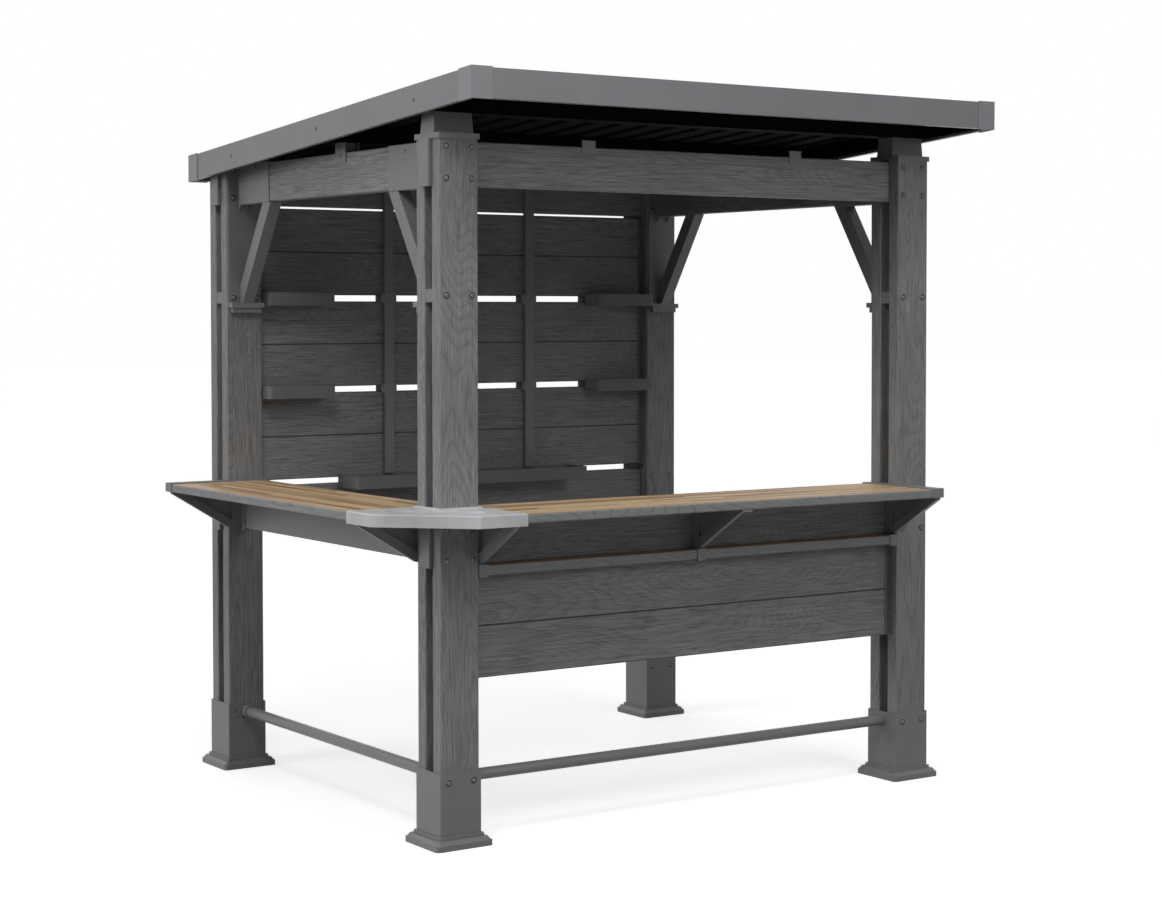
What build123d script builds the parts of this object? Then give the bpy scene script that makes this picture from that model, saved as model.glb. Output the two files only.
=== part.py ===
from build123d import *
import math
import os

# A garden bar gazebo: four double-plank posts, a sloping ribbed roof, a slatted back wall
# with small shelves, and bar counters along the front and the left side.
# Lengths are in millimetres. Setting-out starts at the outer corner of the front left post,
# with X along the front to the right, Y to the back and Z up. At the end every piece is
# moved so that the origin is under the middle of the roof and counters, on the ground.

os.makedirs("parts", exist_ok=True)

# Posts: two planks with a gap between them that the boards and beams run through
post_pitch_x = 1897.0
post_pitch_y = 1558.0
post_width = 140.0
plank_thickness = 50.0
plank_gap = 45.0
plank_edge = 3.0
fit = 0.2
spacer_height = 42.0

# Boots: a sleeve on a stepped base
boot_wall = 5.0
boot_height = 240.0
boot_floor = 12.0
base_margin = 34.0
base_skirt = 18.0
base_bevel = 12.0
base_corner = 14.0
bevel_step = 3.0
bevel_lean = 40.0
small_edge = 2.0
base_collar_margin = 13.0
base_collar = 10.0
boot_window_bottom = 183.0
boot_window_margin = 8.0

# Foot rails
rail_diameter = 38.0
rail_height = 209.0
cup_diameter = 48.0
cup_length = 36.0

# Beams
beam_bottom = 2090.0
beam_height = 142.0
beam_edge = 3.0
end_cap_depth = 16.0
end_cap_lap = 7.0
end_cap_rise = 3.0

# Corner brackets of the side beams
sleeve_wall = 3.5
sleeve_length = 262.0
sleeve_back = 12.0
shoe_width = 130.0
shoe_thickness = 6.0
shoe_drop = 364.0
shoe_lip_height = 36.0
shoe_lip_depth = 34.0
shoe_lip_step = 8.0
shoe_fin = 24.0
brace_depth = 54.0
brace_lean = 33.0

# Caps and risers on the two front posts
cap_margin = 5.0
cap_thickness = 18.0
riser_height = 66.5
riser_front_inset = 30.0
riser_side_inset = -2.0
riser_taper = 4.0

# Roof: slopes down to the back
roof_fall = 0.0763
roof_side_overhang = 52.0
roof_front_overhang = 283.0
roof_back_overhang = 65.0
fascia_height = 93.0
fascia_thickness = 18.0
corner_cap_proud = 3.0
corner_cap_leg = 76.0
corner_cap_rise = 3.0
sheet_drop = 8.0
sheet_thickness = 4.0
rib_height = 16.0
rib_pitch = 114.0
rib_base = 44.0
rib_crown = 26.0
purlin_thickness = 45.0
purlin_height = 56.0
front_purlin_height = 51.6
joist_thickness = 16.0
joist_height = 58.0
strap_width = 74.0
strap_lap = 33.0
clip_width = 52.0
clip_thickness = 4.0
clip_lap = 21.0
clip_rise = 22.0
clip_places = (592.0, 1460.0)

# Counters
counter_overhang = 245.0
counter_inside = 128.0
counter_top = 1070.0
counter_thickness = 29.0
counter_edge = 4.0
counter_end_gap = 2.0
counter_cap_width = 49.0
counter_cap_rise = 4.0
counter_cap_wall = 3.0

# Corner tray with two cup recesses
tray_front_end = 168.0
tray_side_end = 155.0
tray_chamfer = 248.0
tray_proud = 4.0
tray_rise = 3.0
tray_skirt = 8.0
tray_wall = 5.0
tray_edge = 4.0
cup_recess_diameter = 92.0
cup_recess_depth = 18.0
cup_wall = 3.0
cup_off_edge = 124.0
cup_along = 38.0
trim_width = 9.0
trim_height = 5.0

# Counter brackets
bracket_thickness = 18.0
bracket_height = 144.0
bracket_nose = 4.0
bracket_reach = 229.0
bracket_tip = 8.0
bracket_rim = 30.0
bracket_web = 5.0
foot_width = 38.0
foot_ahead = 13.0
foot_behind = 20.0

# Boards of the front, the back wall and the left apron
lower_board_height = 149.0
ledge_thickness = 32.0
ledge_clip_width = 34.0
ledge_clip_proud = 4.0
ledge_clip_drop = 6.0
ledge_clip_wall = 3.0
panel_board_height = 167.0
panel_inset = 25.0
groove_width = 4.0
groove_depth = 3.0
angle_leg_wide = 33.0
angle_leg_narrow = 14.0
angle_thickness = 3.0
wall_slot = 23.0
top_slot = 9.0
wall_board_height = 162.5
apron_thickness = 25.0
apron_height = 146.0
apron_end_length = 42.0
apron_end_wall = 4.0
apron_end_drop = 9.0

# Battens and shelves on the inside of the back wall
batten_width = 42.0
batten_thickness = 20.0
batten_spread = 321.0
collar_width = 55.0
collar_height = 40.0
collar_proud = 4.0
shelf_height = 48.0
shelf_above_slot = 9.0
shelf_wall = 3.0
shelf_corner = 16.0
small_shelf_depth = 106.0
small_shelf_length = 278.0
small_shelf_gap = 3.0
long_shelf_depth = 150.0
long_shelf_length = 1054.0
long_shelf_place = 1008.0

# Sizes worked out from the ones above
post_depth = 2 * plank_thickness + plank_gap
beam_top = beam_bottom + beam_height
gap_front = plank_thickness
gap_back = plank_thickness + plank_gap
board_front = gap_front + fit
board_back = gap_back - fit
right_face = post_pitch_x + post_width
back_face = post_pitch_y + post_depth
post_mid_x = post_width / 2
post_mid_y = post_depth / 2
counter_bottom = counter_top - counter_thickness
post_top = beam_top + sleeve_wall
shoe_lip_top = beam_bottom - shoe_drop
spacer_mid = beam_bottom - top_slot - 2 * wall_board_height - wall_slot / 2
riser_top = post_top + cap_thickness + riser_height
riser_back = post_depth - riser_front_inset
ledge_top = counter_bottom - end_cap_rise - lower_board_height
bracket_bottom = counter_bottom - bracket_height
apron_bottom = counter_bottom - apron_height
roof_left = -roof_side_overhang
roof_right = right_face + roof_side_overhang
roof_front = -roof_front_overhang
roof_back = back_face + roof_back_overhang
slope_cos = math.cos(math.atan(roof_fall))
sheet_depth = (sheet_thickness + rib_height) / slope_cos
under_sheet = sheet_drop + sheet_depth
roof_front_top = (riser_top + front_purlin_height + under_sheet
                  + roof_fall * (riser_back - roof_front))
roof_mid_y = (roof_front + roof_back) / 2
middle_purlin_bottom = (roof_front_top - under_sheet - purlin_height
                        - roof_fall * (roof_mid_y + purlin_thickness / 2 - roof_front))
outline_left = -(counter_overhang + tray_proud)
outline_right = roof_right + corner_cap_proud
outline_front = roof_front - corner_cap_proud
outline_back = roof_back + corner_cap_proud
middle = Vector((outline_left + outline_right) / 2, (outline_front + outline_back) / 2, 0)


def block(x0, x1, y0, y1, z0, z1):
    """A box between two corners."""
    centre = Pos((x0 + x1) / 2, (y0 + y1) / 2, (z0 + z1) / 2)
    return centre * Box(x1 - x0, y1 - y0, z1 - z0)


def eased(piece, axis, size):
    """Chamfer the edges that run along one axis."""
    return chamfer(piece.edges().filter_by(axis), size)


def save(name, *solids):
    """Write one node, moved so that the origin is at the middle of the plan."""
    moved = [Pos(-middle.X, -middle.Y, 0) * solid for solid in solids]
    export_step(moved[0] if len(moved) == 1 else Compound(moved), f"parts/{name}.step")


def roof_z(y, drop=0.0):
    """Height of the roof's top line at a depth y, less a vertical drop."""
    return roof_front_top - roof_fall * (y - roof_front) - drop


def sloped_bar(x0, x1, y0, y1, top_drop, height):
    """A bar whose top and bottom follow the roof, with vertical ends."""
    corners = [
        (y0, roof_z(y0, top_drop)),
        (y1, roof_z(y1, top_drop)),
        (y1, roof_z(y1, top_drop + height)),
        (y0, roof_z(y0, top_drop + height)),
    ]
    profile = Plane.YZ.offset(x0) * make_face(Polyline(*corners, close=True))
    return extrude(profile, x1 - x0)


POSTS = {
    "front_left": (0, 0),
    "front_right": (1, 0),
    "back_left": (0, 1),
    "back_right": (1, 1),
}


def post_planks(ix, iy):
    """The two planks of one post."""
    x0 = ix * post_pitch_x
    y0 = iy * post_pitch_y
    planks = []
    for y in (y0, y0 + plank_thickness + plank_gap):
        plank = block(x0, x0 + post_width, y, y + plank_thickness, boot_floor, post_top)
        planks.append(eased(plank, Axis.Z, plank_edge))
    return planks


def post_spacer(ix, iy):
    """The block between the planks of a post. At the back the wall panels leave less room."""
    x0 = ix * post_pitch_x + plank_edge
    x1 = ix * post_pitch_x + post_width - plank_edge
    if iy == 1 and ix == 0:
        x1 = panel_inset
    if iy == 1 and ix == 1:
        x0 = right_face - panel_inset
    y0 = iy * post_pitch_y
    return block(x0, x1, y0 + board_front, y0 + board_back,
                 spacer_mid - spacer_height / 2, spacer_mid + spacer_height / 2)


def boot(ix, iy, window):
    """Sleeve and stepped base. window is +1 or -1 for the Y side cut down for a rail cup."""
    centre = Pos(ix * post_pitch_x + post_mid_x, iy * post_pitch_y + post_mid_y)
    base_x = post_width + 2 * base_margin
    base_y = post_depth + 2 * base_margin
    skirt = extrude(RectangleRounded(base_x, base_y, base_corner), base_skirt)
    bevel = Pos(0, 0, base_skirt) * extrude(
        RectangleRounded(base_x - 2 * bevel_step, base_y - 2 * bevel_step, base_corner),
        base_bevel, taper=bevel_lean)
    collar = block(-post_width / 2 - base_collar_margin, post_width / 2 + base_collar_margin,
                   -post_depth / 2 - base_collar_margin, post_depth / 2 + base_collar_margin,
                   0, base_skirt + base_bevel + base_collar)
    collar = eased(collar, Axis.Z, boot_wall)
    sleeve = block(-post_width / 2 - boot_wall, post_width / 2 + boot_wall,
                   -post_depth / 2 - boot_wall, post_depth / 2 + boot_wall, 0, boot_height)
    sleeve = eased(sleeve, Axis.Z, small_edge)
    cavity = block(-post_width / 2 - fit, post_width / 2 + fit,
                   -post_depth / 2 - fit, post_depth / 2 + fit, boot_floor, boot_height + 1)
    piece = skirt + bevel + collar + sleeve - cavity
    if window:
        half = post_width / 2 - boot_window_margin
        y_wall = window * post_depth / 2
        piece -= block(-half, half, min(y_wall, y_wall + window * 2 * boot_wall),
                       max(y_wall, y_wall + window * 2 * boot_wall),
                       boot_window_bottom, boot_height + 1)
    return centre * piece


def long_beam(y0, bottom, height):
    """A beam along X in the gap of the two posts at y0."""
    beam = block(0, right_face, y0 + board_front, y0 + board_back, bottom, bottom + height)
    return eased(beam, Axis.X, beam_edge)


def end_caps(y0, bottom, height):
    """The covers on both ends of a beam along X."""
    caps = []
    for x0, x1 in ((-end_cap_depth, 0), (right_face, right_face + end_cap_depth)):
        cap = block(x0, x1, y0 + gap_front - end_cap_lap, y0 + gap_back + end_cap_lap,
                    bottom - end_cap_rise, bottom + height + end_cap_rise)
        caps.append(eased(cap, Axis.Z, small_edge))
    return caps


def side_beam(ix):
    """A beam along Y between the corner brackets of a side."""
    x_mid = ix * post_pitch_x + post_mid_x
    half = plank_gap / 2
    beam = block(x_mid - half, x_mid + half, post_depth + sleeve_back,
                 post_pitch_y - sleeve_back, beam_bottom, beam_top)
    return eased(beam, Axis.Y, beam_edge)


def corner_bracket(ix, iy):
    """Sleeve for the beam end, plate down the post and a brace between them."""
    outer = plank_gap / 2 + sleeve_wall
    inner = plank_gap / 2 + fit
    sleeve_bottom = beam_bottom - sleeve_wall
    sleeve = block(-outer, outer, 0, sleeve_length, sleeve_bottom, beam_top + sleeve_wall)
    sleeve = eased(sleeve, Axis.Y, small_edge)
    socket = block(-inner, inner, sleeve_back, sleeve_length + 1,
                   beam_bottom - fit, beam_top + fit)
    plate = block(-shoe_width / 2, shoe_width / 2, 0, shoe_thickness,
                  shoe_lip_top, beam_top + sleeve_wall)
    fin_line = [(0, sleeve_bottom + 1), (shoe_thickness + shoe_fin, sleeve_bottom + 1),
                (0, sleeve_bottom - shoe_thickness - shoe_fin)]
    for x0 in (-outer, outer - sleeve_wall):
        fin = Plane.YZ.offset(x0) * make_face(Polyline(*fin_line, close=True))
        plate += extrude(fin, sleeve_wall)
    lip = block(-shoe_width / 2, shoe_width / 2, 0, shoe_lip_depth,
                shoe_lip_top - shoe_lip_height / 2, shoe_lip_top)
    lip += block(-shoe_width / 2 + shoe_lip_step, shoe_width / 2 - shoe_lip_step, 0,
                 shoe_lip_depth - shoe_lip_step, shoe_lip_top - shoe_lip_height, shoe_lip_top)
    lean = math.tan(math.radians(brace_lean))
    run = brace_depth / math.cos(math.radians(brace_lean))
    rise = sleeve_bottom + 1 - shoe_lip_top
    top_start = shoe_lip_depth - run + lean * rise
    brace_line = [
        (shoe_lip_depth, shoe_lip_top - 1),
        (top_start + run, sleeve_bottom + 1),
        (top_start, sleeve_bottom + 1),
        (shoe_lip_depth - run, shoe_lip_top - 1),
    ]
    brace = extrude(Plane.YZ.offset(-plank_gap / 2) * make_face(Polyline(*brace_line, close=True)),
                    plank_gap)
    brace -= block(-shoe_width, shoe_width, -2 * run, 0, 0, post_top)
    piece = sleeve - socket + plate + lip + brace
    x_mid = ix * post_pitch_x + post_mid_x
    if iy == 0:
        return Pos(x_mid, post_depth) * piece
    return Pos(x_mid, post_pitch_y) * mirror(piece, Plane.XZ)


def post_cap(ix):
    """The flat cap on a front post, let down over the plank tops."""
    x0 = ix * post_pitch_x
    cap = block(x0 - cap_margin, x0 + post_width + cap_margin, -cap_margin,
                post_depth + cap_margin, post_top, post_top + cap_thickness)
    return eased(cap, Axis.Z, small_edge)


def roof_riser(ix):
    """The tapered block that lifts the roof's front edge."""
    x_mid = ix * post_pitch_x + post_mid_x
    width = post_width - 2 * riser_side_inset
    depth = post_depth - 2 * riser_front_inset
    low = Pos(x_mid, post_mid_y, post_top + cap_thickness) * Rectangle(width, depth)
    high = Pos(x_mid, post_mid_y, riser_top) * Rectangle(width - 2 * riser_taper,
                                                         depth - 2 * riser_taper)
    return loft(Sketch() + [low, high])


def roof_sheet():
    """A ribbed sheet whose ribs run from front to back."""
    x0 = roof_left + fascia_thickness
    x1 = roof_right - fascia_thickness
    count = int((x1 - x0 - rib_base) // rib_pitch)
    start = (x0 + x1 - (count - 1) * rib_pitch) / 2
    top = []
    for i in range(count):
        mid = start + i * rib_pitch
        top += [(mid - rib_base / 2, 0), (mid - rib_crown / 2, rib_height),
                (mid + rib_crown / 2, rib_height), (mid + rib_base / 2, 0)]
    under = [(x, z - sheet_thickness) for x, z in reversed(top)]
    outline = [(x0, 0)] + top + [(x1, 0), (x1, -sheet_thickness)] + under
    outline += [(x0, -sheet_thickness)]
    y0 = roof_front + fascia_thickness
    y1 = roof_back - fascia_thickness
    start_y = y0 - sheet_depth
    slope = Plane(origin=(0, start_y, roof_z(start_y, sheet_drop + rib_height / slope_cos)),
                  x_dir=(1, 0, 0), z_dir=(0, -1, roof_fall))
    length = (y1 - y0 + 2 * sheet_depth) / slope_cos
    long_sheet = extrude(slope * make_face(Polyline(*outline, close=True)), -length)
    return long_sheet & block(x0 - 1, x1 + 1, y0, y1, 0, 2 * roof_front_top)


def purlin(y0, y1, bottom):
    """A bar along X under the sheet. Its top follows the slope."""
    x0 = roof_left + fascia_thickness + joist_thickness
    x1 = roof_right - fascia_thickness - joist_thickness
    corners = [(y0, bottom), (y0, roof_z(y0, under_sheet)), (y1, roof_z(y1, under_sheet)),
               (y1, bottom)]
    return extrude(Plane.YZ.offset(x0) * make_face(Polyline(*corners, close=True)), x1 - x0)


def side_joist(right):
    """The joist behind a side fascia."""
    x0 = roof_left + fascia_thickness
    if right:
        x0 = roof_right - fascia_thickness - joist_thickness
    return sloped_bar(x0, x0 + joist_thickness, roof_front + fascia_thickness,
                      roof_back - fascia_thickness, under_sheet, joist_height)


def fascia_corner(right, back):
    """An L-shaped cover over a corner of the fascia."""
    proud = corner_cap_proud
    top = -corner_cap_rise
    height = fascia_height + 2 * corner_cap_rise
    x_out = roof_right + proud if right else roof_left - proud
    y_out = roof_back + proud if back else roof_front - proud
    sx = -1 if right else 1
    sy = -1 if back else 1
    side = sloped_bar(min(x_out, x_out + sx * proud), max(x_out, x_out + sx * proud),
                      min(y_out, y_out + sy * corner_cap_leg),
                      max(y_out, y_out + sy * corner_cap_leg), top, height)
    front = sloped_bar(min(x_out, x_out + sx * corner_cap_leg),
                       max(x_out, x_out + sx * corner_cap_leg),
                       min(y_out, y_out + sy * proud), max(y_out, y_out + sy * proud),
                       top, height)
    return side + front


def purlin_strap(ix):
    """The saddle that carries the middle purlin on a side beam, with a plate on each face."""
    x_mid = ix * post_pitch_x + post_mid_x
    x_half = plank_gap / 2
    saddle = block(x_mid - x_half, x_mid + x_half, roof_mid_y - purlin_thickness / 2,
                   roof_mid_y + purlin_thickness / 2, beam_top, middle_purlin_bottom)
    for x0 in (x_mid - x_half - clip_thickness, x_mid + x_half):
        saddle += block(x0, x0 + clip_thickness, roof_mid_y - strap_width / 2,
                        roof_mid_y + strap_width / 2, beam_top - strap_lap,
                        middle_purlin_bottom)
    return saddle


def beam_clip(x_mid):
    """A flat clip on the face of the front beam, standing a little above its top."""
    return block(x_mid - clip_width / 2, x_mid + clip_width / 2, board_front - clip_thickness,
                 board_front, beam_top - clip_lap, beam_top + clip_rise)


def front_counter():
    """The plank top along the front, right of the corner tray."""
    x1 = post_pitch_x - counter_end_gap - counter_cap_wall
    top = block(tray_front_end, x1, -counter_overhang, counter_inside,
                counter_bottom, counter_top)
    return eased(top, Axis.X, counter_edge)


def side_counter():
    """The plank top along the left side, behind the corner tray."""
    y1 = post_pitch_y - counter_end_gap - counter_cap_wall
    top = block(-counter_overhang, counter_inside, tray_side_end, y1,
                counter_bottom, counter_top)
    return eased(top, Axis.Y, counter_edge)


def counter_end_cap(along_front):
    """A channel over the free end of a counter."""
    pitch = post_pitch_x if along_front else post_pitch_y
    end = pitch - counter_end_gap
    high = counter_top + counter_cap_rise
    out = -counter_overhang - counter_cap_wall
    back = counter_inside + counter_cap_wall
    cap = block(out, back, end - counter_cap_width, end, counter_bottom, high)
    hollow = block(-counter_overhang, counter_inside, 0, end - counter_cap_wall,
                   counter_bottom - 1, counter_top)
    channel = cap - hollow
    if along_front:
        return mirror(Rot(0, 0, -90) * channel, Plane.XZ)
    return channel


def tray_plan(inset, inner_inset):
    """Plan of the corner tray, inset from its outer edges and from its inner ones."""
    out = -counter_overhang - tray_proud + inset
    cut = tray_chamfer - inset * math.sqrt(2) + inset
    points = [
        (out, tray_side_end - inner_inset),
        (out, out + cut - inset),
        (out + cut - inset, out),
        (tray_front_end - inner_inset, out),
        (tray_front_end - inner_inset, counter_inside - inner_inset),
        (counter_inside - inner_inset, counter_inside - inner_inset),
        (counter_inside - inner_inset, tray_side_end - inner_inset),
    ]
    return make_face(Polyline(*points, close=True))


def corner_tray():
    """The moulded tray around the front left post, with two round cup recesses."""
    high = counter_top + tray_rise
    low = counter_bottom - tray_skirt
    skin = high - tray_wall
    tray = Pos(0, 0, low) * extrude(tray_plan(0, 0), high - low)
    tray = chamfer(tray.faces().sort_by(Axis.Z)[-1].outer_wire().edges(), tray_edge)
    tray -= Pos(0, 0, counter_bottom) * extrude(tray_plan(tray_wall, tray_wall),
                                                skin - counter_bottom)
    tray -= Pos(0, 0, low - 1) * extrude(tray_plan(tray_wall, -1), counter_bottom - low + 1)
    inside = Pos(0, 0, low) * extrude(tray_plan(1, 1), high)
    collar = block(-trim_width, post_width + trim_width, -trim_width, post_depth + trim_width,
                   counter_bottom, high + trim_height)
    tray += collar & inside
    bottom = (Align.CENTER, Align.CENTER, Align.MIN)
    for x, y in ((-cup_off_edge, cup_along), (cup_along, -cup_off_edge)):
        cup_z = high - cup_recess_depth
        tray += Pos(x, y, cup_z - cup_wall) * Cylinder(
            cup_recess_diameter / 2 + cup_wall, skin - cup_z + 2 * cup_wall, align=bottom)
        tray -= Pos(x, y, cup_z) * Cylinder(cup_recess_diameter / 2, high, align=bottom)
    return tray - block(-fit, post_width + fit, -fit, post_depth + fit, low - 1, post_top)


def bracket_foot(x0):
    """The small pad at the tip of the middle bracket."""
    return block(x0, x0 + foot_width, -bracket_reach - foot_ahead, -bracket_reach + foot_behind,
                 counter_bottom - bracket_tip, counter_bottom)


def counter_bracket(back):
    """A triangular bracket in the YZ plane. Y 0 is the face of the post beside it."""
    nose = -bracket_nose
    outline = [(back, 0), (back, bracket_height), (-bracket_reach, bracket_height),
               (-bracket_reach, bracket_height - bracket_tip), (nose, 0)]
    piece = extrude(Plane.YZ * make_face(Polyline(*outline, close=True)), bracket_thickness)
    run = bracket_reach - bracket_nose
    rise = bracket_height - bracket_tip
    edge = bracket_rim / 3
    y_low = nose + edge
    z_low = bracket_rim * math.hypot(run, rise) / run - edge * rise / run
    z_high = bracket_height - edge
    y_high = y_low - (z_high - z_low) * run / rise
    pocket = make_face(Polyline((y_low, z_low), (y_low, z_high), (y_high, z_high), close=True))
    return piece - extrude(Plane.YZ * pocket, bracket_thickness - bracket_web)


def front_bracket(x0):
    """A bracket under the front counter. Its open side faces left."""
    return Pos(x0, 0, bracket_bottom) * counter_bracket(gap_front)


def side_bracket(y0):
    """A bracket under the left counter. Its open side faces the front."""
    turned = Rot(0, 0, -90) * counter_bracket(gap_front - apron_end_wall)
    return Pos(0, y0, bracket_bottom) * mirror(turned, Plane.XZ)


def grooved_panel(y0, bottom, height, boards):
    """A flat panel of tongued boards with a groove on both faces at each joint."""
    x0 = panel_inset
    x1 = right_face - panel_inset
    panel = block(x0, x1, y0 + board_front, y0 + board_back, bottom, bottom + height)
    step = height / boards
    for i in range(1, boards):
        z = bottom + i * step
        for y in (y0 + board_front, y0 + board_back):
            panel -= block(x0 - 1, x1 + 1, y - groove_depth, y + groove_depth,
                           z - groove_width / 2, z + groove_width / 2)
    return panel


def ledge(x0, x1):
    """The flat rail between the front boards."""
    plank = block(x0, x1, 0, board_back, ledge_top - ledge_thickness, ledge_top)
    return eased(plank, Axis.X, small_edge)


def ledge_clip(x_mid):
    """A cover on the front edge of the ledge."""
    half = ledge_clip_width / 2
    low = ledge_top - ledge_thickness - ledge_clip_drop
    clip = block(x_mid - half, x_mid + half, -ledge_clip_proud, gap_front, low,
                 ledge_top + ledge_clip_wall)
    slot = block(x_mid - half - 1, x_mid + half + 1, -fit, gap_front + 1,
                 ledge_top - ledge_thickness - fit, ledge_top + fit)
    return clip - slot


def apron_end(y0, y1):
    """A socket on a post for one end of the left apron."""
    x0 = gap_front - apron_end_wall
    x1 = gap_front + apron_thickness + apron_end_wall
    body = block(x0, x1, y0, y1, apron_bottom - apron_end_drop, counter_bottom)
    slot = block(gap_front - fit, gap_front + apron_thickness + fit, y0 - 1, y1 + 1,
                 apron_bottom - fit, counter_bottom + 1)
    return body - slot


def shelf(x_mid, length, depth, top):
    """A shallow open tray against the back wall."""
    y1 = post_pitch_y + board_front
    y0 = y1 - depth
    body = block(x_mid - length / 2, x_mid + length / 2, y0, y1, top - shelf_height, top)
    fronts = body.edges().filter_by(Axis.Z).sort_by(Axis.Y)[:2]
    body = fillet(fronts, shelf_corner)
    hollow = block(x_mid - length / 2 + shelf_wall, x_mid + length / 2 - shelf_wall,
                   y0 + shelf_wall, y1 - shelf_wall, top - shelf_height + shelf_wall, top + 1)
    inner = hollow.edges().filter_by(Axis.Z).sort_by(Axis.Y)[:2]
    return body - fillet(inner, shelf_corner - shelf_wall)


def batten(x_mid, bottom, collar_heights):
    """An upright on the inside of the back wall, with a collar at each slot."""
    y1 = post_pitch_y + board_front
    bar = block(x_mid - batten_width / 2, x_mid + batten_width / 2, y1 - batten_thickness, y1,
                bottom, beam_top)
    bar = eased(bar, Axis.Z, small_edge)
    for z in collar_heights:
        bar += block(x_mid - collar_width / 2, x_mid + collar_width / 2,
                     y1 - batten_thickness - collar_proud, y1,
                     z - collar_height / 2, z + collar_height / 2)
    return bar


def slot_spacer(x0, slot_top, slot):
    """A block in a slot of the back wall."""
    return block(x0, x0 + collar_width, post_pitch_y + board_front, post_pitch_y + board_back,
                 slot_top - slot, slot_top)


def panel_angle(iy, right, bottom, top, gaps):
    """The angle that holds an end of a panel to its post, left out where gaps says."""
    y1 = iy * post_pitch_y + board_front
    x_post = post_pitch_x if right else post_width
    side = -1 if right else 1
    x_thick = x_post + side * angle_thickness
    x_wide = x_post + side * angle_leg_narrow
    angle = block(min(x_post, x_thick), max(x_post, x_thick), y1 - angle_leg_wide, y1,
                  bottom, top)
    angle += block(min(x_post, x_wide), max(x_post, x_wide), y1 - angle_thickness, y1,
                   bottom, top)
    for low, high in gaps:
        angle -= block(x_post - angle_leg_wide, x_post + angle_leg_wide,
                       y1 - 2 * angle_leg_wide, y1 + 1, low, high)
    return angle.solids()


def tube_along(start, end, diameter):
    """A round bar between two points."""
    path = Vector(*end) - Vector(*start)
    plane = Plane(origin=start, z_dir=path)
    return extrude(plane * Circle(diameter / 2), path.length)


# Posts and boots
for name, (ix, iy) in POSTS.items():
    save(f"{name}_post", *post_planks(ix, iy))
save("post_boots", boot(0, 0, 1), boot(0, 1, -1), boot(1, 0, 0), boot(1, 1, 0))
save("post_spacers", *[post_spacer(ix, iy) for ix, iy in POSTS.values()])
save("corner_brackets", *[corner_bracket(ix, iy) for ix, iy in POSTS.values()])

# Beams and the boards at counter height
back_board_bottom = (beam_bottom - top_slot - 6 * wall_board_height - 3 * wall_slot
                     - lower_board_height)
save("front_beam", long_beam(0, beam_bottom, beam_height))
save("back_beam", long_beam(post_pitch_y, beam_bottom, beam_height))
save("side_beams", side_beam(0), side_beam(1))
save("front_board", long_beam(0, ledge_top, lower_board_height))
save("back_board", long_beam(post_pitch_y, back_board_bottom, lower_board_height))
save("end_caps",
     *end_caps(0, beam_bottom, beam_height), *end_caps(post_pitch_y, beam_bottom, beam_height),
     *end_caps(0, ledge_top, lower_board_height),
     *end_caps(post_pitch_y, back_board_bottom, lower_board_height))

# Roof
save("post_caps", post_cap(0), post_cap(1))
save("roof_risers", roof_riser(0), roof_riser(1))
save("purlins",
     purlin(riser_front_inset, riser_back, riser_top),
     purlin(roof_mid_y - purlin_thickness / 2, roof_mid_y + purlin_thickness / 2,
            middle_purlin_bottom),
     purlin(post_pitch_y + riser_front_inset, back_face - riser_front_inset, post_top))
save("purlin_straps", purlin_strap(0), purlin_strap(1))
save("beam_clips", *[beam_clip(x) for x in clip_places])
save("side_joists", side_joist(False), side_joist(True))
save("roof_sheet", roof_sheet())
save("front_fascia", sloped_bar(roof_left, roof_right, roof_front,
                                roof_front + fascia_thickness, 0, fascia_height))
save("back_fascia", sloped_bar(roof_left, roof_right, roof_back - fascia_thickness,
                               roof_back, 0, fascia_height))
save("side_fascias", *[sloped_bar(x0, x0 + fascia_thickness, roof_front + fascia_thickness,
                                  roof_back - fascia_thickness, 0, fascia_height)
                       for x0 in (roof_left, roof_right - fascia_thickness)])
save("fascia_corners", *[fascia_corner(r, b) for r in (False, True) for b in (False, True)])

# Counters
bay_middle = (post_width + post_pitch_x) / 2
save("front_counter", front_counter())
save("left_counter", side_counter())
save("counter_end_caps", counter_end_cap(True), counter_end_cap(False))
save("corner_tray", corner_tray())
middle_bracket_left = bay_middle - bracket_thickness / 2
save("counter_brackets",
     front_bracket(post_width),
     front_bracket(middle_bracket_left) + bracket_foot(middle_bracket_left),
     front_bracket(post_pitch_x - bracket_thickness),
     side_bracket(post_depth), side_bracket(post_pitch_y - bracket_thickness))

# Front boards
clip_half = ledge_clip_width / 2
panel_height = 2 * panel_board_height
save("front_ledge", ledge(post_width, post_pitch_x))
save("ledge_clips", ledge_clip(post_width + clip_half), ledge_clip(bay_middle),
     ledge_clip(post_pitch_x - clip_half))
save("front_panel", grooved_panel(0, ledge_top - ledge_thickness - panel_height,
                                  panel_height, 2))

# Back wall with its battens and shelves
panel_top = beam_bottom - top_slot
slot_tops = []
for name in ("top", "middle", "lower"):
    panel_bottom = panel_top - 2 * wall_board_height
    save(f"back_wall_{name}_panel",
         grooved_panel(post_pitch_y, panel_bottom, 2 * wall_board_height, 2))
    slot_tops.append(panel_bottom)
    panel_top = panel_bottom - wall_slot
shelf_tops = [z + shelf_above_slot for z in slot_tops]
collar_heights = [z - wall_slot / 2 for z in slot_tops[:2]]
batten_places = (bay_middle - batten_spread, bay_middle + batten_spread)
save("back_battens", *[batten(x, shelf_tops[2], collar_heights) for x in batten_places])
shelf_inset = small_shelf_gap + small_shelf_length / 2
save("small_shelves", *[shelf(x, small_shelf_length, small_shelf_depth, z)
                        for x in (post_width + shelf_inset, post_pitch_x - shelf_inset)
                        for z in shelf_tops[:2]])
save("long_shelf", shelf(long_shelf_place, long_shelf_length, long_shelf_depth, shelf_tops[2]))

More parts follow.
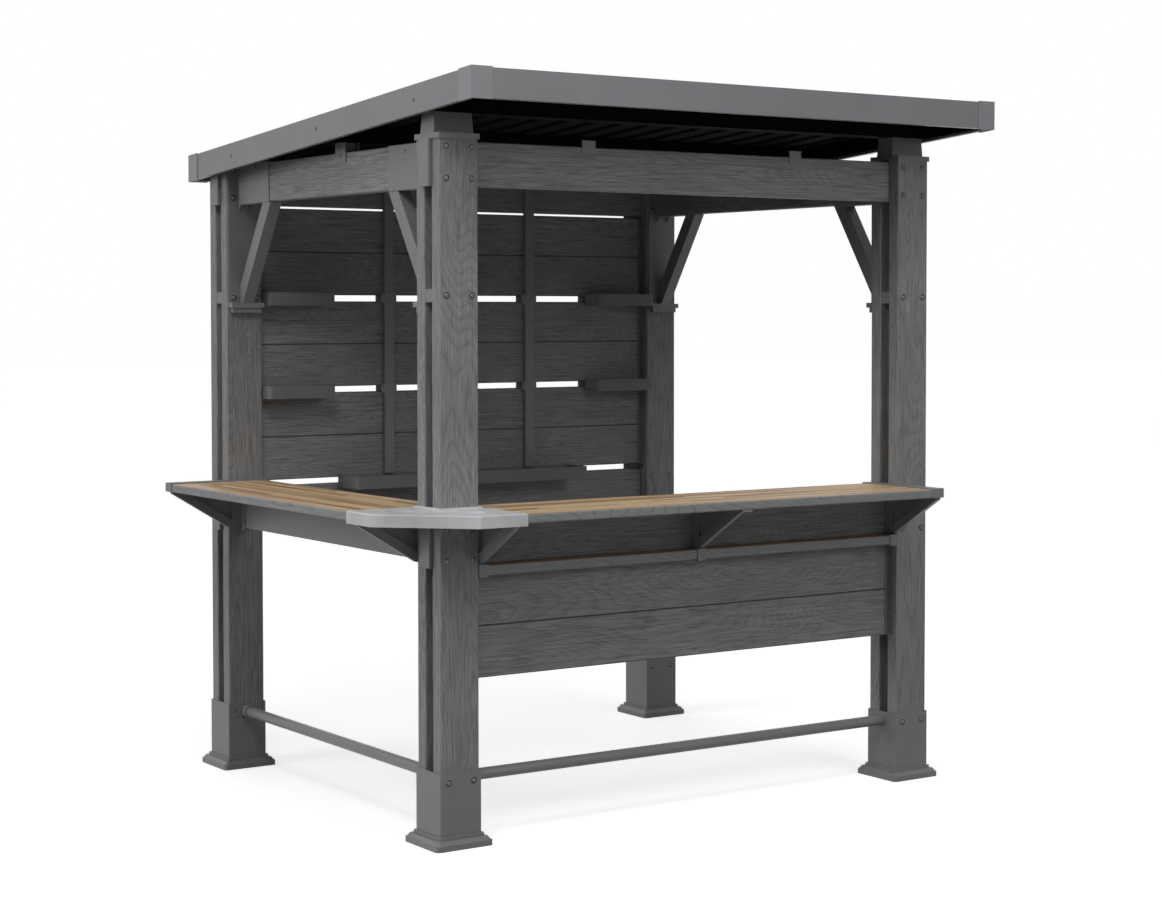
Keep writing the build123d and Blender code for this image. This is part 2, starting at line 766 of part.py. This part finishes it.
# Blocks in the slots: at both posts, and also behind battens and shelves in the middle slots
post_blocks = (post_width, post_pitch_x - collar_width)
shelf_end = small_shelf_gap + small_shelf_length + small_shelf_gap - collar_width
middle_blocks = (post_width + shelf_end, post_pitch_x - shelf_end - collar_width)
batten_blocks = [x - collar_width / 2 for x in batten_places]
spacers = [slot_spacer(x, beam_bottom, top_slot) for x in post_blocks]
spacers += [slot_spacer(x, slot_tops[2], wall_slot) for x in post_blocks]
for z in slot_tops[:2]:
    spacers += [slot_spacer(x, z, wall_slot) for x in (*post_blocks, *middle_blocks,
                                                       *batten_blocks)]
save("slot_spacers", *spacers)

# Angles at the ends of the panels
shelf_gaps = [(z - shelf_height, z) for z in shelf_tops[:2]]
angles = []
for right in (False, True):
    angles += panel_angle(1, right, slot_tops[2], beam_bottom - top_slot, shelf_gaps)
    angles += panel_angle(0, right, ledge_top - ledge_thickness - panel_height,
                          ledge_top - ledge_thickness - ledge_clip_drop, [])
save("panel_angles", *angles)

# Left apron
save("left_apron", block(gap_front, gap_front + apron_thickness, post_depth, post_pitch_y,
                         apron_bottom, counter_bottom))
save("apron_ends", apron_end(post_depth, post_depth + apron_end_length),
     apron_end(post_pitch_y - apron_end_length, post_pitch_y))

# Foot rails
save("front_foot_rail", tube_along((post_width + boot_wall, post_mid_y, rail_height),
                                   (post_pitch_x - boot_wall, post_mid_y, rail_height),
                                   rail_diameter))
left_rail = tube_along((post_mid_x, post_depth, rail_height),
                       (post_mid_x, post_pitch_y, rail_height), rail_diameter)
for y in (post_depth, post_pitch_y - cup_length):
    left_rail += tube_along((post_mid_x, y, rail_height), (post_mid_x, y + cup_length, rail_height),
                            cup_diameter)
save("left_foot_rail", left_rail)
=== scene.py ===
import math

import bmesh
import bpy
from mathutils import Matrix, Vector


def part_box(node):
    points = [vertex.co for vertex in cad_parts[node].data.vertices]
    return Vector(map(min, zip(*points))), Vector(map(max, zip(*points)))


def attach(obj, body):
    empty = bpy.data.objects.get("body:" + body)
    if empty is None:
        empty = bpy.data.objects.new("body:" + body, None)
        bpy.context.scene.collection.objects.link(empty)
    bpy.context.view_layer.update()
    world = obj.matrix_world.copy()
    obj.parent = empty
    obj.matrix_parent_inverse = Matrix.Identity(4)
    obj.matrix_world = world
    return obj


# A garden bar gazebo in grained grey planks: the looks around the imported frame.
# Lengths are in metres. The frame's origin is on the ground under the middle of the plan.

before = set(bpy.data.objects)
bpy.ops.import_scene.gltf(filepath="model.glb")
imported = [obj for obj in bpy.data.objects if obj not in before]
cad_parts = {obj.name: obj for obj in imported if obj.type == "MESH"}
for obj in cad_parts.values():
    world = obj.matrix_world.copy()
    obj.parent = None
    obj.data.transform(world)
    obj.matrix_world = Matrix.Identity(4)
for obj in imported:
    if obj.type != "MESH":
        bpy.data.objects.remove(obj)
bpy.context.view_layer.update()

post_box = {name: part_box(f"{name}_post")
            for name in ("front_left", "front_right", "back_left", "back_right")}

# Camera, as solved from the photograph
PHOTO_WIDTH = 1162
PHOTO_HEIGHT = 917
SENSOR = 36.0
FOCAL_PIXELS = 2273.6
OPTICAL_CENTRE = (617.3, 391.9)
CAMERA_PLACE = (-4.4910, -6.9035, 1.6972)
CAMERA_YAW = math.radians(34.551)
CAMERA_PITCH = math.radians(-2.047)
CAMERA_REACH = 200.0

# Fasteners, as half sections from the outer edge to the middle: radius and height.
# The numbers in the painted-shade lists count the rings between two points of a section that are
# painted near black as shade: the contact line at the rim, the groove round a bolt's head and the
# socket.
BOLT_SECTION = ((0.0130, 0.0), (0.0126, 0.0012), (0.0118, 0.0022), (0.0108, 0.0022),
                (0.0103, 0.0006), (0.0064, 0.0006), (0.0062, 0.0030), (0.0055, 0.0046),
                (0.0043, 0.0054), (0.0027, 0.0054), (0.0025, 0.0030))
BOLT_PAINTED_SHADE = (0, 3, 4, 10)
SCREW_SECTION = ((0.0072, 0.0), (0.0066, 0.0010), (0.0046, 0.0018), (0.0024, 0.0018),
                 (0.0022, 0.0006))
SCREW_PAINTED_SHADE = (0, 1, 4)
FASTENER_SIDES = 24

# Grain: noise scales along and across the fibres, in cycles a metre
GRAIN = (0.85, 6.5)
FIBRES = (8.0, 245.0)
PORES = (26.0, 520.0)
RING_COUNT = 50.0
RING_WAVER = 0.3
WAVER_SCALE = 0.16
BOARD_SHIFT = (3.7, 1.9)

# Oak-look staves of the counter tops
STAVE_WIDTH = 0.031
STAVE_LENGTH = 0.74
STAVE_STAGGER = 0.377
STAVE_VARIETY = 0.38
STREAKS = {"x": (1.3, 60.0, 1.0), "y": (60.0, 1.3, 1.0)}
FLAT_TOP = 0.9
SLANTED_TOP = 0.6
EVEN = (1, 1, 1)


def linear(red, green, blue):
    """A colour given as 0 to 255 screen values."""
    return tuple(((c / 255 + 0.055) / 1.055) ** 2.4 for c in (red, green, blue)) + (1.0,)


def grey(value):
    """A neutral factor."""
    return (value, value, value, 1.0)


def scaled(tone, factor):
    """A colour made darker or lighter."""
    return tuple(c * factor for c in tone[:3]) + (1.0,)


class Nodes:
    """A short way to build a material's node tree."""

    def __init__(self, name):
        self.material = bpy.data.materials.new(name)
        self.material.use_nodes = True
        self.tree = self.material.node_tree
        self.shader = self.tree.nodes["Principled BSDF"]

    def add(self, kind, **settings):
        node = self.tree.nodes.new(kind)
        for key, value in settings.items():
            setattr(node, key, value)
        return node

    def link(self, source, target):
        self.tree.links.new(source, target)

    def feed(self, value, socket):
        """Set a socket to a constant, or link it to another socket."""
        if isinstance(value, (int, float, tuple)):
            socket.default_value = value
        else:
            self.link(value, socket)

    def place(self):
        """Object coordinates."""
        return self.add("ShaderNodeTexCoord").outputs["Object"]

    def coordinates(self, scale, offset=None):
        """Object coordinates, moved by an offset and stretched."""
        vector = self.place()
        if offset is not None:
            move = self.add("ShaderNodeVectorMath", operation="ADD")
            self.link(vector, move.inputs[0])
            self.link(offset, move.inputs[1])
            vector = move.outputs["Vector"]
        mapping = self.add("ShaderNodeMapping")
        mapping.inputs["Scale"].default_value = scale
        self.link(vector, mapping.inputs["Vector"])
        return mapping.outputs["Vector"]

    def split(self, vector):
        """The three parts of a vector."""
        node = self.add("ShaderNodeSeparateXYZ")
        self.link(vector, node.inputs["Vector"])
        return node.outputs

    def join(self, x, y):
        """A flat vector from two sockets."""
        node = self.add("ShaderNodeCombineXYZ")
        self.link(x, node.inputs["X"])
        self.link(y, node.inputs["Y"])
        return node.outputs["Vector"]

    def noise(self, vector, scale, detail, roughness=0.55):
        node = self.add("ShaderNodeTexNoise")
        node.inputs["Scale"].default_value = scale
        node.inputs["Detail"].default_value = detail
        node.inputs["Roughness"].default_value = roughness
        self.link(vector, node.inputs["Vector"])
        return node.outputs["Fac"]

    def math(self, operation, *values):
        node = self.add("ShaderNodeMath", operation=operation)
        for socket, value in zip(node.inputs, values):
            self.feed(value, socket)
        return node.outputs[0]

    def ramp(self, factor, stops):
        """A colour for each factor, from places and colours."""
        node = self.add("ShaderNodeValToRGB")
        band = node.color_ramp
        while len(band.elements) < len(stops):
            band.elements.new(0.5)
        for element, (place, colour) in zip(band.elements, stops):
            element.position = place
            element.color = colour
        self.link(factor, node.inputs["Fac"])
        return node.outputs["Color"]

    def greys(self, factor, *stops):
        """A ramp of neutral factors, from places and values."""
        return self.ramp(factor, [(place, grey(value)) for place, value in stops])

    def mix(self, factor, first, second, blend="MIX"):
        node = self.add("ShaderNodeMix", data_type="RGBA", blend_type=blend)
        for name, value in (("Factor", factor), ("A", first), ("B", second)):
            self.feed(value, node.inputs[name])
        return node.outputs["Result"]

    def multiply(self, depth, colour, factor):
        """A colour times a factor, taken as far as the depth says."""
        return self.mix(depth, colour, factor, blend="MULTIPLY")

    def bump(self, height, strength, distance, below=None):
        node = self.add("ShaderNodeBump")
        node.inputs["Strength"].default_value = strength
        node.inputs["Distance"].default_value = distance
        self.link(height, node.inputs["Height"])
        if below is not None:
            self.link(below, node.inputs["Normal"])
        return node.outputs["Normal"]


def stretched(axis, scales):
    """Noise scales for a pattern that runs along one axis."""
    along, across = scales
    return tuple(along if name == axis else across for name in "xyz")


def board_count(nodes, bottom, height):
    """How many boards up a stack a point lies."""
    z = nodes.split(nodes.place())["Z"]
    return nodes.math("DIVIDE", nodes.math("SUBTRACT", z, bottom), height)


def board_offset(nodes, bottom, height):
    """Moves the grain along from board to board of a stack, so that no two look alike."""
    step = nodes.math("FLOOR", board_count(nodes, bottom, height))
    return nodes.join(*(nodes.math("MULTIPLY", step, shift) for shift in BOARD_SHIFT))


def groove_painted_shade(nodes, bottom, height):
    """Painted shade: darkens the groove between two boards of a stack."""
    near = nodes.math("PINGPONG", board_count(nodes, bottom, height), 0.5)
    return nodes.greys(near, (0.0, 0.3), (0.013, 0.35), (0.02, 1.0))


def wood_grain(nodes, axis, offset=None):
    """Growth rings, from 0 to 1 each, and fibres along one axis."""
    field = nodes.noise(nodes.coordinates(stretched(axis, GRAIN), offset), 1.0, detail=0.5,
                        roughness=0.4)
    fibre_place = nodes.coordinates(stretched(axis, FIBRES), offset)
    waver = nodes.noise(fibre_place, WAVER_SCALE, detail=3.0)
    rings = nodes.math("ADD", nodes.math("MULTIPLY", field, RING_COUNT),
                       nodes.math("MULTIPLY", waver, RING_WAVER))
    fibres = nodes.noise(fibre_place, 1.0, detail=3.0, roughness=0.65)
    return nodes.math("FRACT", rings), fibres


def plank_material(name, axis, tone, boards=None):
    """Grey resin plank with an embossed wood grain along one axis.

    For a stack of boards, boards gives its bottom and the height of one board; the groove between
    two boards gets painted shade.
    """
    nodes = Nodes(name)
    offset = board_offset(nodes, *boards) if boards else None
    lines, fibres = wood_grain(nodes, axis, offset)
    pores = nodes.noise(nodes.coordinates(stretched(axis, PORES), offset), 1.0, detail=1.0)
    broad = nodes.noise(nodes.coordinates(EVEN, offset), 3.0, detail=2.0)
    ring = nodes.greys(lines, (0.0, 0.66), (0.16, 0.94), (0.6, 1.08), (0.88, 1.0), (1.0, 0.66))
    fibre = nodes.greys(fibres, (0.36, 0.6), (0.46, 0.93), (0.56, 1.08), (0.68, 1.3))
    pore = nodes.greys(pores, (0.30, 0.6), (0.42, 1.0))
    patches = nodes.greys(broad, (0.3, 0.92), (0.7, 1.08))
    colour = nodes.multiply(0.58, tone, ring)
    colour = nodes.multiply(0.85, colour, fibre)
    colour = nodes.multiply(0.6, colour, pore)
    colour = nodes.multiply(1.0, colour, patches)
    # Painted shade in the grooves between the boards of a stack.
    if boards:
        colour = nodes.multiply(1.0, colour, groove_painted_shade(nodes, *boards))
    nodes.link(colour, nodes.shader.inputs["Base Color"])
    ridge = nodes.greys(lines, (0.0, 0.0), (0.2, 1.0), (0.9, 0.8), (1.0, 0.0))
    coarse = nodes.bump(ridge, 0.6, 0.0008)
    nodes.link(nodes.bump(fibres, 0.7, 0.0009, coarse), nodes.shader.inputs["Normal"])
    nodes.link(nodes.greys(fibres, (0.2, 0.7), (0.8, 0.56)), nodes.shader.inputs["Roughness"])
    nodes.shader.inputs["Specular IOR Level"].default_value = 0.25
    return nodes.material


def moulded_material(name, tone, roughness, speck=0.0, gloss=0.35):
    """Smooth moulded resin or powder-coated metal with a fine pebbled skin."""
    nodes = Nodes(name)
    pebbles = nodes.noise(nodes.coordinates(EVEN), 900.0, detail=2.0)
    cloud = nodes.noise(nodes.coordinates(EVEN), 5.0, detail=3.0)
    broad = nodes.ramp(cloud, [(0.3, scaled(tone, 0.93 - speck)),
                               (0.7, scaled(tone, 1.05 + speck))])
    fine = nodes.greys(pebbles, (0.3, 1 - speck), (0.7, 1 + speck))
    nodes.link(nodes.multiply(1.0, broad, fine), nodes.shader.inputs["Base Color"])
    nodes.link(nodes.bump(pebbles, 0.25, 0.0002), nodes.shader.inputs["Normal"])
    nodes.link(nodes.greys(cloud, (0.2, roughness - 0.05), (0.8, roughness + 0.05)),
               nodes.shader.inputs["Roughness"])
    nodes.shader.inputs["Specular IOR Level"].default_value = gloss
    return nodes.material


def face_up(nodes, limit):
    """1 where a face looks up, else 0."""
    normal = nodes.add("ShaderNodeNewGeometry").outputs["True Normal"]
    return nodes.math("GREATER_THAN", nodes.split(normal)["Z"], limit)


EDGE_TONE = linear(144, 145, 145)


def topped_material(nodes, lines, fibres, top, limit):
    """Finish a board with its own top colour and grey plank grain on the edges."""
    ring = nodes.greys(lines, (0.0, 0.62), (0.2, 1.0), (1.0, 0.95))
    fibre = nodes.greys(fibres, (0.35, 0.72), (0.65, 1.1))
    edge = nodes.multiply(0.7, nodes.multiply(0.9, EDGE_TONE, ring), fibre)
    nodes.link(nodes.mix(face_up(nodes, limit), edge, top), nodes.shader.inputs["Base Color"])
    nodes.link(nodes.bump(fibres, 0.35, 0.0005), nodes.shader.inputs["Normal"])
    nodes.shader.inputs["Roughness"].default_value = 0.55
    nodes.shader.inputs["Specular IOR Level"].default_value = 0.3
    return nodes.material


OAK_STOPS = [(0.2, linear(122, 92, 66)), (0.38, linear(180, 146, 110)),
             (0.55, linear(220, 190, 150)), (0.8, linear(240, 216, 180))]
LEDGE_STOPS = [(0.3, linear(116, 84, 62)), (0.7, linear(178, 142, 112))]
OAK_FIBRE_STOPS = [(0.36, (0.70, 0.66, 0.60, 1)), (0.5, grey(1.0)), (0.66, grey(1.1))]


def stave_material(name, axis):
    """Oak-look staves along one axis on the top face, grey grain on the edges."""
    nodes = Nodes(name)
    place = nodes.split(nodes.place())
    across, along = ("Y", "X") if axis == "x" else ("X", "Y")
    row = nodes.math("FLOOR", nodes.math("DIVIDE", place[across], STAVE_WIDTH))
    part = nodes.math("FLOOR", nodes.math("ADD", nodes.math("DIVIDE", place[along], STAVE_LENGTH),
                                          nodes.math("MULTIPLY", row, STAVE_STAGGER)))
    stave = nodes.add("ShaderNodeTexWhiteNoise", noise_dimensions="3D")
    nodes.link(nodes.join(row, part), stave.inputs["Vector"])
    lines, fibres = wood_grain(nodes, axis)
    streaks = nodes.noise(nodes.coordinates(STREAKS[axis]), 1.0, detail=4.0, roughness=0.65)
    tint = nodes.math("ADD", nodes.math("MULTIPLY", stave.outputs["Value"], STAVE_VARIETY),
                      nodes.math("MULTIPLY", streaks, 1 - STAVE_VARIETY))
    top = nodes.multiply(0.75, nodes.ramp(tint, OAK_STOPS), nodes.ramp(fibres, OAK_FIBRE_STOPS))
    return topped_material(nodes, lines, fibres, top, FLAT_TOP)


def ledge_material(name):
    """Grey grained plank with an oak-look top."""
    nodes = Nodes(name)
    lines, fibres = wood_grain(nodes, "x")
    return topped_material(nodes, lines, fibres, nodes.ramp(fibres, LEDGE_STOPS), SLANTED_TOP)


def fastener_material(name, tone):
    """Coated fastener with light wear."""
    nodes = Nodes(name)
    wear = nodes.noise(nodes.coordinates(EVEN), 300.0, detail=3.0)
    nodes.link(nodes.ramp(wear, [(0.35, scaled(tone, 0.8)), (0.75, scaled(tone, 1.3))]),
               nodes.shader.inputs["Base Color"])
    nodes.shader.inputs["Metallic"].default_value = 0.2
    nodes.link(nodes.greys(wear, (0.3, 0.45), (0.7, 0.34)), nodes.shader.inputs["Roughness"])
    return nodes.material


PLANK_TONE = linear(142, 142, 142)
materials = {
    "plank_x": plank_material("plank_along_x", "x", PLANK_TONE),
    "plank_y": plank_material("plank_along_y", "y", PLANK_TONE),
    "plank_z": plank_material("plank_along_z", "z", PLANK_TONE),
    "smooth": moulded_material("smooth_grey", linear(127, 128, 130), 0.48),
    "tray": moulded_material("light_grey", linear(204, 205, 207), 0.5, speck=0.14),
    "trim": moulded_material("roof_trim", linear(132, 133, 136), 0.42),
    # A lighter copy of the trim tone on the corner covers, painted in place of the shade line at
    # their edges.
    "corner": moulded_material("trim_corner_painted_edge", linear(140, 141, 144), 0.42),
    "roof": moulded_material("roof_frame", linear(9, 9, 10), 0.8, gloss=0.03),
    "rail": moulded_material("rail_grey", linear(130, 131, 133), 0.4),
    "batten": moulded_material("batten_grey", linear(136, 137, 138), 0.5, gloss=0.25),
    "inner": moulded_material("inner_grey", linear(119, 120, 121), 0.55, gloss=0.2),
    # Dark grey on the spacers deep in the post slots: painted shade in the slots.
    "slot": moulded_material("slot_painted_shade", linear(74, 75, 76), 0.6, gloss=0.15),
    "oak_x": stave_material("oak_staves_x", "x"),
    "oak_y": stave_material("oak_staves_y", "y"),
    "ledge": ledge_material("ledge"),
    "bolt": fastener_material("bolt", linear(140, 141, 143)),
    # Near black on the fastener rings of painted shade: the contact line at the rim, the groove
    # round a bolt's head and the socket.
    "socket": fastener_material("bolt_painted_shade", linear(12, 12, 13)),
}

# Each stack is two boards high and gets a grain of its own
STACKS = ("front_panel", "back_wall_top_panel", "back_wall_middle_panel",
          "back_wall_lower_panel")
for stack in STACKS:
    low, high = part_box(stack)
    materials[stack] = plank_material(f"{stack}_grain", "x", PLANK_TONE,
                                      (low[2], (high[2] - low[2]) / 2))

NODE_LOOKS = {
    "plank_z": ["front_left_post", "front_right_post", "back_left_post", "back_right_post"],
    "plank_x": ["front_beam", "back_beam", "front_board", "back_board"],
    "plank_y": ["side_beams"],
    "ledge": ["front_ledge"],
    "smooth": ["post_boots", "post_spacers", "corner_brackets", "end_caps", "post_caps",
               "roof_risers", "counter_end_caps", "counter_brackets", "ledge_clips",
               "apron_ends", "left_apron", "purlin_straps", "beam_clips"],
    "batten": ["back_battens"],
    "inner": ["small_shelves", "long_shelf", "panel_angles"],
    "slot": ["slot_spacers"],
    "tray": ["corner_tray"],
    "oak_x": ["front_counter"],
    "oak_y": ["left_counter"],
    "trim": ["front_fascia", "back_fascia", "side_fascias"],
    "corner": ["fascia_corners"],
    "roof": ["roof_sheet", "purlins", "side_joists"],
    "rail": ["front_foot_rail", "left_foot_rail"],
    **{stack: [stack] for stack in STACKS},
}


def dress_frame():
    """Give every CAD node its material."""
    for look, names in NODE_LOOKS.items():
        for name in names:
            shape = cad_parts[name]
            if not shape.data.materials:
                shape.data.materials.append(None)
            for place in shape.material_slots:
                place.material = materials[look]


def fastener_mesh(name, section, painted_shade_rings):
    """A fastener along +Z, turned from its half section. Rings of painted shade get the
    near-black second material.
    """
    mesh = bmesh.new()
    turns = [2 * math.pi * k / FASTENER_SIDES for k in range(FASTENER_SIDES)]
    rings = [[mesh.verts.new((radius * math.cos(t), radius * math.sin(t), height))
              for t in turns] for radius, height in section]
    for i, (low, high) in enumerate(zip(rings, rings[1:])):
        for k in range(FASTENER_SIDES):
            after = (k + 1) % FASTENER_SIDES
            face = mesh.faces.new((low[k], low[after], high[after], high[k]))
            face.material_index = int(i in painted_shade_rings)
    last = rings[-1]
    middle = mesh.verts.new((0, 0, section[-1][1]))
    for k in range(FASTENER_SIDES):
        face = mesh.faces.new((last[k], last[(k + 1) % FASTENER_SIDES], middle))
        face.material_index = int(len(section) - 1 in painted_shade_rings)
    data = bpy.data.meshes.new(name)
    mesh.to_mesh(data)
    mesh.free()
    return data


BOLT = fastener_mesh("bolt", BOLT_SECTION, BOLT_PAINTED_SHADE)
SCREW = fastener_mesh("screw", SCREW_SECTION, SCREW_PAINTED_SHADE)


def joined_fasteners(name, mesh_data, places):
    """One piece holding a fastener at each place. A place is a point and a direction."""
    mesh = bmesh.new()
    for point, direction in places:
        copy = mesh_data.copy()
        turn = Vector((0, 0, 1)).rotation_difference(Vector(direction)).to_matrix().to_4x4()
        copy.transform(Matrix.Translation(Vector(point)) @ turn)
        mesh.from_mesh(copy)
        bpy.data.meshes.remove(copy)
    data = bpy.data.meshes.new(name)
    mesh.to_mesh(data)
    mesh.free()
    data.materials.append(materials["bolt"])
    # The second slot carries the painted shade of the rim, groove and socket rings.
    data.materials.append(materials["socket"])
    piece = bpy.data.objects.new(name, data)
    bpy.context.collection.objects.link(piece)
    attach(piece, "root")


FRONT = (0, -1, 0)
BACK = (0, 1, 0)
LEFT = (-1, 0, 0)
RIGHT = (1, 0, 0)
BOLT_INSET = 0.024
BRACKET_BOLT_HEIGHTS = (2.211, 2.112, 1.745)
BOARD_BOLT_HEIGHTS = (1.008, 0.910)
BOOT_SCREW_HEIGHT = 0.210
BOOT_WALL = 0.005
BRACKET_PLATE = 0.006


def post_bolts():
    """Bolts on the outer and inner faces of the posts, the bracket plates and the boots."""
    bolts = []
    boot_bolts = []
    window_screws = []
    for name, (low, high) in post_box.items():
        at_front = name.startswith("front")
        outer, out = (low[1], FRONT) if at_front else (high[1], BACK)
        inner, into = (high[1], BACK) if at_front else (low[1], FRONT)
        plate = inner + into[1] * BRACKET_PLATE
        for x in (low[0] + BOLT_INSET, high[0] - BOLT_INSET):
            for z in BRACKET_BOLT_HEIGHTS:
                bolts += [((x, outer, z), out), ((x, plate, z), into)]
            for z in BOARD_BOLT_HEIGHTS:
                bolts += [((x, outer, z), out), ((x, inner, z), into)]
            boot_bolts.append(((x, outer + out[1] * BOOT_WALL, BOOT_SCREW_HEIGHT), out))
            if name.endswith("left"):
                window_screws.append(((x, inner, BOOT_SCREW_HEIGHT), into))
            else:
                boot_bolts.append(((x, inner + into[1] * BOOT_WALL, BOOT_SCREW_HEIGHT), into))
    joined_fasteners("post_bolts", BOLT, bolts)
    joined_fasteners("boot_bolts", BOLT, boot_bolts)
    joined_fasteners("boot_window_screws", SCREW, window_screws)


SLEEVE_SCREW_INSET = 0.154
SLEEVE_SCREW_HEIGHT = 2.214
SLEEVE_OUT = 0.026
FASCIA_SCREWS = ((-0.6725, 2.356), (-0.0075, 2.309), (0.6635, 2.256))
STRAP_SCREW_HEIGHT = 2.220
ANGLE_THICKNESS = 0.003
ANGLE_MIDDLE = 0.0165
BACK_ANGLE_SCREWS = (2.052, 1.570, 1.050)
FRONT_ANGLE_SCREWS = (0.815, 0.537)


def side_screws():
    """Small screws on the sleeves, straps, side fascias and panel angles, both sides alike."""
    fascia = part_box("side_fascias")
    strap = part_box("purlin_straps")
    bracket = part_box("corner_brackets")
    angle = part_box("panel_angles")
    screws = []
    for side, out, into in ((0, LEFT, RIGHT), (1, RIGHT, LEFT)):
        for y, z in FASCIA_SCREWS:
            screws.append(((fascia[side][0], y, z), out))
        strap_middle = (strap[0][1] + strap[1][1]) / 2
        screws.append(((strap[side][0], strap_middle, STRAP_SCREW_HEIGHT), out))
        post = post_box[("front_left", "front_right")[side]]
        sleeve_face = (post[0][0] + post[1][0]) / 2 + out[0] * SLEEVE_OUT
        for y in (bracket[0][1] + SLEEVE_SCREW_INSET, bracket[1][1] - SLEEVE_SCREW_INSET):
            screws.append(((sleeve_face, y, SLEEVE_SCREW_HEIGHT), out))
        angle_face = angle[side][0] + into[0] * ANGLE_THICKNESS
        for z in BACK_ANGLE_SCREWS:
            screws.append(((angle_face, angle[1][1] - ANGLE_MIDDLE, z), into))
        for z in FRONT_ANGLE_SCREWS:
            screws.append(((angle_face, angle[0][1] + ANGLE_MIDDLE, z), into))
    joined_fasteners("small_screws", SCREW, screws)


FLOOR_REACH = 60.0
FLOOR_TONE = (0.93, 0.93, 0.93, 1)
FLOOR_BOUNCE = (0.3, 0.3, 0.3, 1)
FLOOR_LIFT = 0.62
WORLD_LIGHT = 0.07


def add_floor():
    """A wide floor, pale where it is seen and greyer in the light it throws back."""
    mesh = bmesh.new()
    bmesh.ops.create_grid(mesh, x_segments=1, y_segments=1, size=FLOOR_REACH)
    data = bpy.data.meshes.new("floor")
    mesh.to_mesh(data)
    mesh.free()
    floor = bpy.data.objects.new("floor", data)
    bpy.context.collection.objects.link(floor)
    nodes = Nodes("floor")
    nodes.shader.inputs["Roughness"].default_value = 0.9
    nodes.shader.inputs["Specular IOR Level"].default_value = 0.0
    rays = nodes.add("ShaderNodeLightPath").outputs
    seen = nodes.math("MAXIMUM", rays["Is Camera Ray"], rays["Is Glossy Ray"])
    tone = nodes.mix(seen, FLOOR_BOUNCE, FLOOR_TONE)
    nodes.link(tone, nodes.shader.inputs["Base Color"])
    glow = nodes.add("ShaderNodeEmission")
    glow.inputs["Strength"].default_value = FLOOR_LIFT
    blend = nodes.add("ShaderNodeAddShader")
    choice = nodes.add("ShaderNodeMixShader")
    output = nodes.tree.nodes["Material Output"]
    nodes.link(nodes.shader.outputs[0], blend.inputs[0])
    nodes.link(glow.outputs[0], blend.inputs[1])
    nodes.link(seen, choice.inputs["Fac"])
    nodes.link(nodes.shader.outputs[0], choice.inputs[1])
    nodes.link(blend.outputs[0], choice.inputs[2])
    nodes.link(choice.outputs[0], output.inputs["Surface"])
    data.materials.append(nodes.material)


def add_world():
    """Even soft light, white where the camera or a reflection sees it."""
    world = bpy.data.worlds.new("studio")
    bpy.context.scene.world = world
    world.use_nodes = True
    tree = world.node_tree
    back = tree.nodes["Background"]
    back.inputs["Color"].default_value = (1, 1, 1, 1)
    rays = tree.nodes.new("ShaderNodeLightPath").outputs
    seen = tree.nodes.new("ShaderNodeMath")
    seen.operation = "MAXIMUM"
    tree.links.new(rays["Is Camera Ray"], seen.inputs[0])
    tree.links.new(rays["Is Glossy Ray"], seen.inputs[1])
    strength = tree.nodes.new("ShaderNodeMapRange")
    strength.inputs["To Min"].default_value = WORLD_LIGHT
    strength.inputs["To Max"].default_value = 1.0
    tree.links.new(seen.outputs[0], strength.inputs["Value"])
    tree.links.new(strength.outputs["Result"], back.inputs["Strength"])


# Soft distant lamps: azimuth from the front (-Y) towards the left (-X), elevation,
# strength and the angle that each fills
SUNS = {
    "left_side": (98, 16, 0.33, 30),
    "overhead": (0, 65, 0.17, 40),
    "behind": (180, 40, 0.16, 60),
}

# Square soft lamps turned to the near corner post: place, size and strength there
PANEL_LAMPS = {
    "front": ((1.0, -6.0, 4.0), 2.5, 0.18),
    "corner": ((-3.0, -3.0, 5.0), 2.0, 0.32),
}
LAMP_TARGET = (-0.9, -0.7, 1.4)


def add_sun(name, azimuth, elevation, strength, angle):
    data = bpy.data.lights.new(name, "SUN")
    data.energy = strength * math.pi
    data.angle = math.radians(angle)
    turn = math.radians(azimuth)
    rise = math.radians(elevation)
    towards = Vector((-math.sin(turn) * math.cos(rise), -math.cos(turn) * math.cos(rise),
                      math.sin(rise)))
    lamp = bpy.data.objects.new(name, data)
    lamp.rotation_euler = towards.to_track_quat("Z", "Y").to_euler()
    bpy.context.collection.objects.link(lamp)


def add_panel_lamp(name, place, size, strength):
    data = bpy.data.lights.new(name, "AREA")
    data.size = size
    towards = Vector(LAMP_TARGET) - Vector(place)
    data.energy = strength * math.pi ** 2 * towards.length_squared
    lamp = bpy.data.objects.new(name, data)
    lamp.location = place
    lamp.rotation_euler = towards.to_track_quat("-Z", "Y").to_euler()
    bpy.context.collection.objects.link(lamp)


def add_camera():
    """The camera at the photograph's place."""
    data = bpy.data.cameras.new("camera")
    data.sensor_fit = "HORIZONTAL"
    data.sensor_width = SENSOR
    data.lens = FOCAL_PIXELS * SENSOR / PHOTO_WIDTH
    data.shift_x = (PHOTO_WIDTH / 2 - OPTICAL_CENTRE[0]) / PHOTO_WIDTH
    data.shift_y = (OPTICAL_CENTRE[1] - PHOTO_HEIGHT / 2) / PHOTO_WIDTH
    data.clip_end = CAMERA_REACH
    camera = bpy.data.objects.new("camera", data)
    camera.location = CAMERA_PLACE
    camera.rotation_euler = (math.pi / 2 + CAMERA_PITCH, 0, -CAMERA_YAW)
    bpy.context.collection.objects.link(camera)
    bpy.context.scene.camera = camera


dress_frame()
post_bolts()
side_screws()
add_floor()
add_world()
for lamp_name, settings in SUNS.items():
    add_sun(lamp_name, *settings)
for lamp_name, settings in PANEL_LAMPS.items():
    add_panel_lamp(lamp_name, *settings)
add_camera()
bpy.context.scene.view_settings.view_transform = "Standard"
